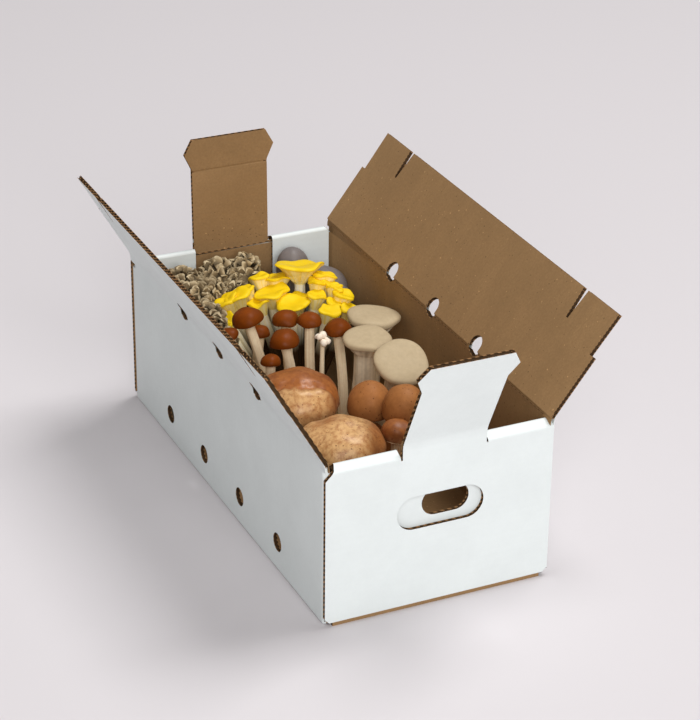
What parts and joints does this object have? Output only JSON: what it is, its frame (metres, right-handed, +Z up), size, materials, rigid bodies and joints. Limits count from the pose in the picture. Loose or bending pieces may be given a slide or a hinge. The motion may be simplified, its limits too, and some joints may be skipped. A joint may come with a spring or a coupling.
{
  "type": "mushroom kit box",
  "caption": "Open corrugated carton with rolled ends, hinged lid flaps and lock tabs, packed with mixed fresh mushrooms",
  "frame": {"origin": "middle of the tray's underside, on the surface it stands on", "axes": "+X across the box, +Y along the box from the front end to the rear end, +Z up"},
  "size_m": [0.3077, 0.4777, 0.2469],
  "materials": {
    "board": "matte",
    "golden_oyster": "matte",
    "grey_oyster": "matte",
    "maitake": "matte",
    "pioppino": "matte",
    "king_oyster": "matte",
    "shiitake": "matte",
    "cremini": "matte"
  },
  "bodies": {
    "tray": {"tray": "board", "golden_oyster_cluster": "golden_oyster", "grey_oyster_cluster": "grey_oyster", "maitake_cluster": "maitake", "pioppino_1": "pioppino", "pioppino_2": "pioppino", "pioppino_3": "pioppino", "pioppino_4": "pioppino", "pioppino_5": "pioppino", "pioppino_6": "pioppino", "pioppino_7": "pioppino", "pioppino_8": "pioppino", "young_pioppino": "pioppino", "king_oyster_1": "king_oyster", "king_oyster_2": "king_oyster", "king_oyster_3": "king_oyster", "shiitake_1": "shiitake", "shiitake_1_under_1": "shiitake", "shiitake_2": "shiitake", "shiitake_2_under_1": "shiitake", "shiitake_3": "shiitake", "shiitake_3_under_1": "shiitake", "cremini_1": "cremini", "cremini_1_under_1": "cremini", "cremini_1_under_2": "cremini", "cremini_2": "cremini", "cremini_2_under_1": "cremini", "cremini_2_under_2": "cremini"},
    "left_lid_flap": {"left_lid_flap": "board"},
    "right_lid_flap": {"right_lid_flap": "board"},
    "front_lock_tab": {"front_lock_tab": "board"},
    "rear_lock_tab": {"rear_lock_tab": "board"}
  },
  "joints": [
    {"name": "left_flap_hinge", "type": "hinge", "parent": "tray", "child": "left_lid_flap", "pos_m": [-0.0982, 0, 0.1465], "axis": [0, 1, 0], "range_deg": [-90, 120]},
    {"name": "right_flap_hinge", "type": "hinge", "parent": "tray", "child": "right_lid_flap", "pos_m": [0.0982, 0, 0.1465], "axis": [0, -1, 0], "range_deg": [-82.5, 127.5]},
    {"name": "front_tab_hinge", "type": "hinge", "parent": "tray", "child": "front_lock_tab", "pos_m": [0.0025, -0.21495, 0.1504], "axis": [-1, 0, 0], "range_deg": [-94, 116]},
    {"name": "rear_tab_hinge", "type": "hinge", "parent": "tray", "child": "rear_lock_tab", "pos_m": [-0.0025, 0.21495, 0.1504], "axis": [1, 0, 0], "range_deg": [-118.8, 91.2]}
  ]
}
